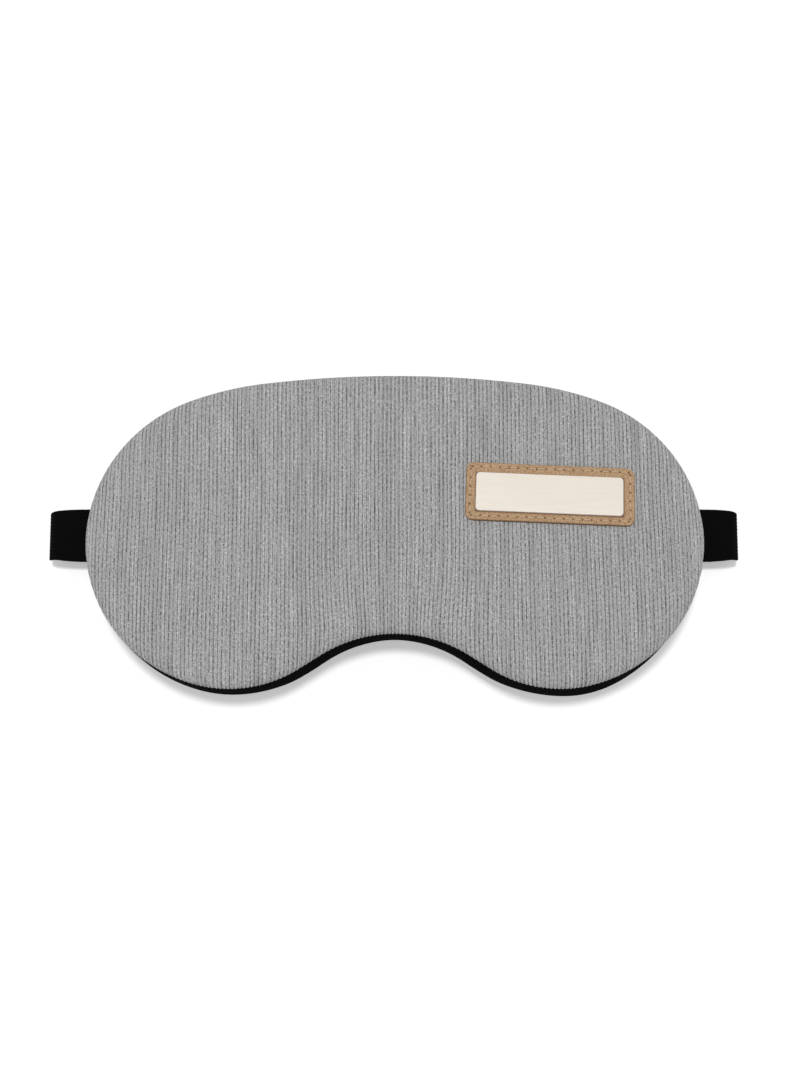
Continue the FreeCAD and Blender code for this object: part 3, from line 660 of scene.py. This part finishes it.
def makeFrontCover():
    # From both edges of the grid the rows go on down the bulge to the seam, and they meet underneath, so the
    # cover is closed.
    step = front["ribPitch"] / front["stepsPerRib"]
    across, y, inside, normal, edges = coverGrid(step, front["rows"], front["bunching"])
    x, nx, ny = across[0], normal[..., 0], normal[..., 1]
    slope = np.arctan(np.interp(inside, edgeTable, np.gradient(edgeHeights, edgeTable)))
    pull = front["pull"] * smoothStep((np.abs(x) - front["pullFrom"]) / front["pullOver"])
    used = np.interp(inside, edgeTable, edgeExtra) + pull * np.exp(-inside / front["pullReach"])
    cloth = stacked(across + grainShift(across, y) + nx * used, y + ny * used)
    relief = ribRelief(cloth[..., 0]) * (1 + edgeRibs(y) * np.exp(-inside / front["edgeRibReach"]))
    height = frontHeight(across, y, inside) - patchPress(across, y)
    points = stacked(across + nx * np.sin(slope) * relief, y + ny * np.sin(slope) * relief,
                     height + np.cos(slope) * relief)

    turn = np.linspace(0, math.pi / 2, 6)[1:]
    ribbed = np.append(np.ones(len(turn)), 0)[:, None]
    fall = front["widest"] - front["seam"]
    insets = np.append(front["seamInset"] * (1 - np.cos(turn)), front["seamInset"] + front["turnUnder"])
    drops = np.append(fall * np.sin(turn), fall + 0.05)
    length = np.cumsum(np.hypot(np.diff(np.append(0, insets)), np.diff(np.append(0, drops))))
    used = edgeExtra[0] + pull + length[:, None]
    skirts, skirtCloths = [], []
    for edge, edgeNormal in edges:
        nx, ny = edgeNormal.T
        skirtCloths.append(stacked(x + grainShift(x, edge) + nx * used, edge + ny * used))
        out = ribRelief(skirtCloths[-1][..., 0]) * (1 + edgeRibs(edge)) * ribbed - insets[:, None]
        skirts.append(stacked(x + nx * out, edge + ny * out, front["widest"] - drops[:, None]))
    under = np.linspace(0, 1, 8)[1:-1, None, None]

    def closed(middle, lower, upper):
        underside = upper[-1] * (1 - under) + lower[-1] * under
        return np.concatenate([lower[::-1], middle, upper, underside, lower[-1:]])

    return gridMesh("frontPad", closed(points, *skirts), closed(cloth, *skirtCloths), materials["knit"])


frontPad = makeFrontCover()
standFor(frontPad, "mask", "front_knit", "front_cover", "batting", "foam_core", "blackout_liner")
print("front cover:", len(frontPad.data.polygons), "faces")


# The black side band and the back cover

band = {"inset": 0.45, "thickness": 0.9, "top": 16.75, "bottom": 6.2, "loopSpacing": 0.7}
back = {
    "height": 5.5, "edgeHeight": 6.7, "edgeWidth": 2.6, "edgePower": 2.2, "thickness": 0.8, "columnStep": 0.8,
    "rows": 90, "bunching": 0.7, "tuckReach": 22.0, "pucker": 0.16, "puckerAt": 2.2, "puckerReach": 2.4,
}
tuck = {"brow": 0.25, "low": -0.05, "nose": 0.3, "slope": 0.75, "rightLobe": 0.9}


def backTuck(x, y):
    # how far the back edge is drawn in under the front: more at the nose, and it stands out on the slopes
    # beside the nose and under the right lobe
    low = smoothStep(-y / 8)
    stand = tuck["slope"] * hump(np.abs(x), 27, 11) + tuck["rightLobe"] * hump(x, 65, 15)
    return tuck["brow"] + (tuck["low"] - tuck["brow"]) * low + low * (tuck["nose"] * hump(x, 0, 8) - stand)


def makeEdgeBand():
    # a closed profile carried round the outline: down the outside, leaning in to the back, and up the inside
    loop, normal = outlineLoop(band["loopSpacing"])
    way = wayAlong(loop)
    drop = np.array([0.0, 0.03, 0.10, 0.25, 0.4, 0.55, 0.7, 0.82, 0.92, 0.98, 1.0])
    heights = band["top"] + (band["bottom"] - band["top"]) * drop
    drawn = backTuck(loop[:, 0], loop[:, 1]) + 0.1
    lean = smoothStep(drop) ** 1.3
    belly = 0.22 * np.sin(np.pi * drop)
    outer = band["inset"] + (drawn - band["inset"]) * lean[:, None] - belly[:, None]
    outer = outer + 0.05 * np.sin(way / 2.1 + 0.8 * np.sin(way / 13)) * np.sin(np.pi * drop)[:, None]
    outer[0] += 0.45
    inner = outer[::-3] + band["thickness"]
    insets = np.concatenate([outer, inner, outer[:1]])
    levels = np.concatenate([heights, heights[::-3], heights[:1]])
    points = stacked(loop[:, 0] - normal[:, 0] * insets, loop[:, 1] - normal[:, 1] * insets, levels[:, None])
    length = np.append(0, np.cumsum(np.abs(np.diff(levels)) + 0.1))
    cloth = stacked(way, length[:, None])
    return gridMesh("edgeBand", points[:, ::-1], cloth[:, ::-1], materials["band"])


def makeBackCover():
    # The flat back rises at its edge to meet the band, gathered there in small puckers, and its inner side
    # lies one thickness above. Rows run over the face and back over the inner side.
    across, y, inside, normal, edges = coverGrid(back["columnStep"], back["rows"], back["bunching"])
    draw = (backTuck(across, y) + 0.15) * (1 - smoothStep(inside / back["tuckReach"]))
    px, py = across - normal[..., 0] * draw, y - normal[..., 1] * draw
    power = back["edgePower"]
    rise = 1 - (1 - (1 - np.clip(inside / back["edgeWidth"], 0, 1)) ** power) ** (1 / power)
    angle = np.arctan2(py, px)
    folds = np.sin(angle * 61 + 1.6 * np.sin(angle * 9))
    pucker = back["pucker"] * folds * hump(inside, back["puckerAt"], back["puckerReach"])
    face = back["height"] + (back["edgeHeight"] - back["height"]) * rise + np.maximum(pucker, -0.02)
    outerSide = stacked(px, py, face)
    innerSide = stacked(px, py, np.minimum(face + back["thickness"], back["edgeHeight"] + 0.1))
    innerSide[0], innerSide[-1] = outerSide[0], outerSide[-1]
    cloth = stacked(across, y)
    points = np.concatenate([outerSide[::-1], innerSide[1::2], outerSide[-1:]])
    cloth = np.concatenate([cloth[::-1], cloth[1::2], cloth[-1:]])
    return gridMesh("backCover", points, cloth, materials["back"])


edgeBand, backCover = makeEdgeBand(), makeBackCover()
standFor(edgeBand, "mask", "band_fabric", "edge_band")
standFor(backCover, "mask", "back_fabric", "back_cover")
print("band and back made")


# The patch, its plate and its stitches

def roundedRings(length, width, corner, profile, spacing):
    # A rounded rectangle drawn again at each inset and height of a profile. Every ring has the same number
    # of points, so a run round it keeps its place. The deepest inset closes the shape along its middle.
    halfLength, halfWidth = length / 2, width / 2
    runs = [max(3, int(2 * (half - corner) / spacing)) for half in (halfLength, halfWidth)] * 2
    rings, maps = [], []
    around = 2 * (length + width) - 8 * corner + math.tau * corner
    for inset, height in profile:
        hx, hy = max(halfLength - inset, halfLength - halfWidth), max(halfWidth - inset, 0.0)
        radius = min(max(corner - inset, 0.02), hy)
        corners = []
        for index, (sx, sy) in enumerate(((1, 1), (-1, 1), (-1, -1), (1, -1))):
            turn = index * math.pi / 2 + np.linspace(0, math.pi / 2, 9)
            corners.append(stacked(sx * (hx - radius) + radius * np.cos(turn),
                                   sy * (hy - radius) + radius * np.sin(turn)))
        points = []
        for arc, after, run in zip(corners, corners[1:] + corners[:1], runs):
            part = np.linspace(0, 1, run + 1)[1:-1, None]
            points += [arc, arc[-1] + part * (after[0] - arc[-1])]
        ring = np.concatenate([*points, points[0][:1]])
        if not rings:
            way = wayAlong(ring)
            way = way / way[-1] * around
        rings.append(stacked(*ring.T, height))
        maps.append(stacked(inset, way))
    return np.array(rings), np.array(maps)


def laidOnFront(points, lift=0.0):
    # turned and carried to its place, and bent over the crown of the pad
    px, py = fromPatch(points[..., 0], points[..., 1])
    base = frontHeight(px, py, nearEdge(px, py)[0]) - patch["press"]
    return stacked(px, py, base + lift + points[..., 2])


def makePatch():
    # from the middle of its back round the cut edge, over the stitch channel and to the middle of its front
    thick, border, half = patch["thickness"], patch["border"], patch["channel"] / 2
    inner = patch["width"] / 2
    profile = [(inner, 0.02), (6, 0.0), (0.25, 0.0), (0.06, 0.06), (0.0, 0.25), (0.0, 0.6), (0.02, 0.85),
               (0.1, 1.05), (0.24, 1.15), (0.42, thick), (0.7, thick)]
    side = np.linspace(-1, 1, 7)
    depth = patch["channelDepth"]
    profile += [(border + half * s, thick - depth * math.cos(s * math.pi / 2) ** 0.7) for s in side]
    profile += [(2.3, thick), (2.7, thick), (3.0, thick - 0.02)]
    profile += [(inset, thick - 0.04) for inset in (3.4, 6, inner)]
    rings, maps = roundedRings(patch["length"], patch["width"], patch["corner"], profile, 0.32)
    wavy = 0.05 * np.sin(rings[..., 0] / 2.3) * np.sin(rings[..., 1] / 1.9 + 1)
    rings[..., 2] += np.where(rings[..., 2] > 1, wavy, 0)
    return gridMesh("leatherPatch", laidOnFront(rings), rings[..., :2], materials["leather"])


def makePlatePiece():
    thick, bevel = plate["thickness"], plate["bevel"]
    turn = np.linspace(0, math.pi / 2, 5)
    profile = [(plate["width"] / 2, 0.0), (0.1, 0.0), (0.0, 0.05)]
    profile += [(bevel * (1 - math.cos(a)), thick - bevel + bevel * math.sin(a)) for a in turn]
    profile += [(0.5, thick), (1.2, thick + 0.01), (3.0, thick + 0.03), (plate["width"] / 2, thick + 0.05)]
    rings, maps = roundedRings(plate["length"], plate["width"], plate["corner"], profile, 0.5)
    rings[..., :2] += (plate["along"], plate["aside"])
    return gridMesh("labelPlate", laidOnFront(rings, patch["thickness"] - 0.05), maps, materials["plate"])


def tubes(name, centres, radius, material, sides=8):
    # Many short tubes at once: centres are (tube, place along, 3), and the radius varies along a tube.
    # Each ring lies across the tube's own direction; the ends close to a point.
    run = np.gradient(centres, axis=1)
    run /= np.linalg.norm(run, axis=-1, keepdims=True)
    aside = np.cross(run, [0.0, 0.0, 1.0])
    aside /= np.maximum(np.linalg.norm(aside, axis=-1, keepdims=True), 1e-9)
    up = np.cross(aside, run)
    turn = np.linspace(0, math.tau, sides + 1)
    turn[-1] = 0
    ring = aside[:, :, None] * np.cos(turn)[:, None] + up[:, :, None] * np.sin(turn)[:, None]
    points = centres[:, :, None] + ring * radius[None, :, None, None]
    way = np.cumsum(np.linalg.norm(np.diff(centres, axis=1, prepend=centres[:, :1]), axis=-1), axis=1)
    maps = stacked(np.linspace(0, math.tau, sides + 1) * radius.max(), way[:, :, None])
    quads = gridQuads(centres.shape[1], sides + 1)
    count = centres.shape[1] * (sides + 1)
    quads = (quads[None] + np.arange(len(centres))[:, None, None] * count).reshape(-1, 4)
    return quadMesh(name, points, quads, maps, material)


stitch = {"pitch": 3.0, "length": 2.45, "rise": 0.24, "sink": 0.1, "radius": 0.2, "stray": 0.06, "skew": 0.05}


def makeStitches():
    # Each stitch is a low arch between two holes of the channel, a little out of line.
    halfLength, halfWidth = patch["length"] / 2 - patch["border"], patch["width"] / 2 - patch["border"]
    starts, turns = [], []
    for run, aside, turned in ((halfLength, halfWidth, False), (halfWidth, halfLength, True)):
        count = int(2 * run / stitch["pitch"])
        middle = (np.arange(count) - (count - 1) / 2) * stitch["pitch"]
        for side in (-1, 1):
            starts.append(stacked(middle, side * aside))
            turns += [turned] * count
    starts, turns = np.concatenate(starts), np.array(turns)[:, None]
    along = np.linspace(-0.5, 0.5, 11) * stitch["length"]
    jitter = rng.normal(0, stitch["stray"], (len(starts), 2))
    skew = rng.normal(0, stitch["skew"], len(starts))
    run = starts[:, None, 0] + jitter[:, :1] + along
    off = starts[:, None, 1] + jitter[:, 1:] + along * skew[:, None]
    foot = patch["thickness"] - patch["channelDepth"] - stitch["sink"]
    arch = foot + stitch["rise"] * np.cos(np.pi * along / stitch["length"]) ** 0.6
    centres = laidOnFront(stacked(np.where(turns, off, run), np.where(turns, run, off), arch))
    radius = stitch["radius"] * np.sin(np.linspace(0, np.pi, 11)) ** 0.35
    radius[[0, -1]] = 0
    return tubes("patchStitches", centres, radius, materials["thread"])


leatherPatch, labelPlate, patchStitches = makePatch(), makePlatePiece(), makeStitches()
standFor(leatherPatch, "mask", "leather", "leather_patch")
standFor(labelPlate, "mask", "plate", "label_plate")
standFor(patchStitches, "mask", "thread", "patch_stitches")
print("patch made")


# The elastic strap: each length is a flat ribbed section carried along a path in the plane across the width

strap = {
    "up": 0.5, "width": 18.0, "thickness": 0.9, "ribs": 13, "ribDepth": 0.05, "step": 0.6,
    "drift": 1.6, "driftFrom": 76.0, "driftOver": 22.0, "driftBelow": 5.8, "driftFade": 5.0,
    "turnOut": 0.037, "turnFrom": 98.0, "turnOver": 14.0,
}


def strapPath(stops, step, ease=1.2):
    # Straight runs between corners (across, up) and round turns (across, up, radius, turn), where a run
    # touches each turn; then even steps, with the corners eased by a running mean.
    spots = [np.array(stop[:2], float) for stop in stops]
    points = []

    def leaning(point, index, leaving):
        centre, radius, turn = spots[index], stops[index][2], stops[index][3]
        away = point - centre if leaving else centre - point
        lean = math.asin(turn * radius / np.linalg.norm(away))
        return math.atan2(away[1], away[0]) + (lean if leaving else -lean)

    for index, stop in enumerate(stops):
        if len(stop) == 2:
            points.append(spots[index][None])
            continue
        radius, turn = stop[2], stop[3]
        start = leaning(spots[index - 1], index, False) - turn * math.pi / 2
        end = leaning(spots[index + 1], index, True) - turn * math.pi / 2
        sweep = (end - start) * turn % math.tau
        angle = start + turn * np.linspace(0, sweep, 24)
        points.append(spots[index] + radius * stacked(np.cos(angle), np.sin(angle)))
    points = np.concatenate(points)
    way = wayAlong(points)
    path = sampled(np.linspace(0, way[-1], int(way[-1] / 0.1) + 1), way, points)
    window = int(ease / 0.1) | 1
    half = window // 2
    padded = np.concatenate([2 * path[:1] - path[half:0:-1], path, 2 * path[-1:] - path[-2:-half - 2:-1]])
    path = stacked(*[np.convolve(column, np.ones(window) / window, "valid") for column in padded.T])
    pick = np.linspace(0, len(path) - 1, int(way[-1] / step) + 1)
    return sampled(pick, np.arange(len(path)), path)


def ribbon(name, path, narrowing=np.ones_like):
    # The section is a flat oval loop with lengthwise cords as cosine ridges on both faces. The first and last
    # sections close to a line. Under the bends the strap lies a little further up than above them, and the
    # bends are turned a little, wider at the upper side.
    half, thick, count = strap["width"] / 2, strap["thickness"] / 2, strap["ribs"]
    flat = half - thick
    faces = np.linspace(-flat, flat, count * 4 + 1)
    ridge = strap["ribDepth"] * (np.cos(faces / flat * math.pi * count) - 1)
    turn = np.linspace(-math.pi / 2, math.pi / 2, 7)[1:-1]
    arc, arcRise = thick * np.cos(turn), thick * np.sin(turn)
    side = np.concatenate([faces, flat + arc, faces[::-1], -flat - arc, faces[:1]])
    rise = np.concatenate([thick + ridge, -arcRise, -thick - ridge[::-1], arcRise, thick + ridge[:1]])
    run = np.gradient(path, axis=0)
    run /= np.linalg.norm(run, axis=1, keepdims=True)
    path = np.concatenate([path[:1], path, path[-1:]])
    run = np.concatenate([run[:1], run, run[-1:]])
    way = wayAlong(path)
    closed = np.ones(len(path))
    closed[[0, -1]] = 0
    lift = rise[None] * closed[:, None]
    aside = side[None] * narrowing(way)[:, None]
    out, up = np.abs(path[:, :1]), path[:, 1:]
    drift = (strap["drift"] * smoothStep((out - strap["driftFrom"]) / strap["driftOver"])
             * smoothStep((strap["driftBelow"] - up) / strap["driftFade"]))
    turning = smoothStep((out - strap["turnFrom"]) / strap["turnOver"])
    turnOut = strap["turnOut"] * np.sign(path[:, :1]) * turning
    points = stacked(path[:, :1] + turnOut * aside - run[:, 1:] * lift, strap["up"] + drift + aside,
                     up + run[:, :1] * lift)
    around = np.append(0, np.cumsum(np.hypot(np.diff(side), np.diff(rise))))
    return gridMesh(name, points, stacked(around, way[:, None]), materials["elastic"])


heights = {"floor": 0.45, "raised": 1.55, "return": 2.55, "tongue": 7.05, "layer": 0.95}
floor, raised, upper, tongue, layer = heights.values()
bend = {
    "across": 111.25, "up": 3.75, "radius": 3.3, "end": 106.25, "sewnIn": 80.0, "narrow": 0.085, "reach": 6.5,
    "uneven": 0.4,
}


def makeStrapSide(name, hand):
    # from inside the pad, out, round the bend and back to the floor, narrower round the bend
    across = bend["across"] - hand * bend["uneven"]
    inner, outer = (hand * bend["sewnIn"], tongue), (hand * bend["end"], floor)
    path = strapPath([inner, (hand * across, bend["up"], bend["radius"], -hand), outer], 0.5)
    apex = across - bend["sewnIn"] + bend["radius"] * math.pi / 2
    return ribbon(name, path, lambda way: 1 - bend["narrow"] * hump(way, apex, bend["reach"]))


# Each turn is (across, up, radius, side), round the ring's two bars and the slider's one. A folded end comes
# down from its turn and lies on the strap under it.
ringStart, ringEnd, barTurn = (-66.55, 1.5, 1.05, 1), (-57.45, 1.5, 1.05, -1), (10.6, 3.65, 1.1, 1)
returnStart, returnEnd = (-54.0, upper), (-4.0, upper)
tabLayer, wrapLayer = floor + layer, upper + layer


def strapPiece(name, *stops):
    return ribbon(name, strapPath(stops, strap["step"]))


ringTab = strapPiece(
    "ringTab", (-bend["end"], floor), ringStart, (-68.0, upper), (-72.0, tabLayer), (-80.0, tabLayer))
strapRun = strapPiece("strapRun", (bend["end"], floor), (73.0, floor), (64.0, raised), (-29.0, raised),
                      (-38.0, floor), ringEnd, returnStart)
strapReturn = strapPiece("strapReturn", returnStart, returnEnd)
sliderWrap = strapPiece("sliderWrap", returnEnd, barTurn, (8.8, 4.75), (4.8, wrapLayer), (-2.0, wrapLayer))
strapLeft, strapRight = makeStrapSide("strapLeft", -1), makeStrapSide("strapRight", 1)
standFor(ringTab, "strap", "elastic", "ring_tab")
standFor(strapRun, "strap", "elastic", "strap_run")
standFor(sliderWrap, "slider", "elastic", "slider_wrap")
for piece, node in ((strapLeft, "left"), (strapRight, "right")):
    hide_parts("strap_side_" + node, "strap_end_" + node)
    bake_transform(piece)
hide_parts("strap_return")
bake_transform(strapReturn)
print("strap made")


# Bar tacks: one thread laid to and fro across the strap's end

tack = {"length": 1.8, "width": 14.0, "passes": 26, "radius": 0.16}


def makeTack(name, start, height):
    turns = np.arange(tack["passes"] * 2 + 1)
    corners = stacked(start + tack["length"] * (turns % 2),
                      strap["up"] + tack["width"] * (turns / turns[-1] - 0.5), height)
    share = np.linspace(0, len(turns) - 1, len(turns) * 5)
    line = sampled(share, turns, corners)
    line[:, 2] += 0.1 * np.sin(np.pi * (share % 1)) + 0.03
    radius = np.full(len(line), tack["radius"])
    radius[[0, -1]] = 0
    return tubes(name, line[None], radius, materials["tack"], 6)


tabTack = makeTack("tabTack", -79.2, 1.87)
wrapTack = makeTack("wrapTack", -1.2, 3.97)
standFor(tabTack, "strap", "tack_thread", "tab_tack")
standFor(wrapTack, "slider", "tack_thread", "wrap_tack")


# Ring and slider: their own shapes with softened edges

def softened(node, name, body, width):
    piece = bpy.data.objects.new(name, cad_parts[node].data.copy())
    scene.collection.objects.link(piece)
    work = bmesh.new()
    work.from_mesh(piece.data)
    bmesh.ops.remove_doubles(work, verts=work.verts, dist=1e-6)
    bmesh.ops.dissolve_limit(work, angle_limit=math.radians(1), verts=work.verts, edges=work.edges)
    work.to_mesh(piece.data)
    work.free()
    piece.data.materials.clear()
    piece.data.materials.append(materials["moulded"])
    piece.data.shade_smooth()
    edge = piece.modifiers.new("softEdge", "BEVEL")
    edge.width, edge.segments, edge.harden_normals = width * mm, 3, True
    edge.limit_method, edge.angle_limit = "ANGLE", math.radians(50)
    standFor(piece, body, "hardware", node)


softened("ring", "strapRing", "strap", 0.2)
softened("slider", "adjusterSlider", "slider", 0.22)
print("hardware made")


# Floor, light and camera

def seenItself(tree):
    # 1 where the camera sees the surface, straight, in a reflection or through something clear
    path = addNode(tree, "LightPath").outputs
    either = maths("MAXIMUM", path["Is Camera Ray"], path["Is Glossy Ray"])
    return maths("MAXIMUM", either, path["Is Transmission Ray"])


def makeFloor():
    # white where it is seen, more so far from the object, and clear from below
    bpy.ops.mesh.primitive_plane_add(size=3.4, location=(0, 0, -0.0002))
    floor = bpy.context.object
    floor.name = "floor"
    material, tree = emptyMaterial("whiteFloor")
    plain = addNode(tree, "BsdfDiffuse", {0: (0.85, 0.85, 0.85, 1)})
    place = addNode(tree, "TexCoord").outputs["Object"]
    away = addNode(tree, "VectorMath", {0: place}, operation="LENGTH").outputs[1]
    strength = times(seenItself(tree), remap(away, 0.25, 1.4, 0.37, 1.0))
    glow = addNode(tree, "Emission", {0: (1, 1, 1, 1), 1: strength})
    both = addNode(tree, "AddShader", {0: plain.outputs[0], 1: glow.outputs[0]})
    below = addNode(tree, "NewGeometry").outputs["Backfacing"]
    clear = addNode(tree, "BsdfTransparent")
    either = addNode(tree, "MixShader", {0: below, 1: both.outputs[0], 2: clear.outputs[0]})
    addNode(tree, "OutputMaterial", {0: either.outputs[0]})
    floor.data.materials.append(material)


def makeWorld(strength):
    # plain light for the object, and white where the background itself is seen
    world = bpy.data.worlds.new("studio")
    world.use_nodes = True
    tree = world.node_tree
    shown = remap(seenItself(tree), 0.0, 1.0, strength, 1.0)
    feed(tree.nodes["Background"], {0: (1, 1, 1, 1), 1: shown})
    scene.world = world


def makeLight(name, place, size, power):
    data = bpy.data.lights.new(name, "AREA")
    data.shape, data.size, data.energy = "DISK", size, power
    lamp = bpy.data.objects.new(name, data)
    lamp.location = place
    lamp.rotation_euler = (-Vector(place)).to_track_quat("-Z", "Y").to_euler()
    scene.collection.objects.link(lamp)


light = {"key": ((-0.09, 0.28, 2.75), 0.45, 39.8), "world": 0.357}
view = {"elevation": 74.0, "distance": 0.460, "target": (0.00167, -0.00444, 0.012), "lens": 46.28}

makeFloor()
makeLight("keyLight", *light["key"])
makeWorld(light["world"])

lens = bpy.data.cameras.new("camera")
lens.lens, lens.sensor_width = view["lens"], 36.0
lens.clip_start, lens.clip_end = 0.01, 20
camera = bpy.data.objects.new("camera", lens)
lift = math.radians(view["elevation"])
camera.location = Vector(view["target"]) + Vector((0, -math.cos(lift), math.sin(lift))) * view["distance"]
camera.rotation_euler = (math.pi / 2 - lift, 0, 0)
scene.collection.objects.link(camera)
scene.camera = camera
scene.view_settings.view_transform = "Standard"
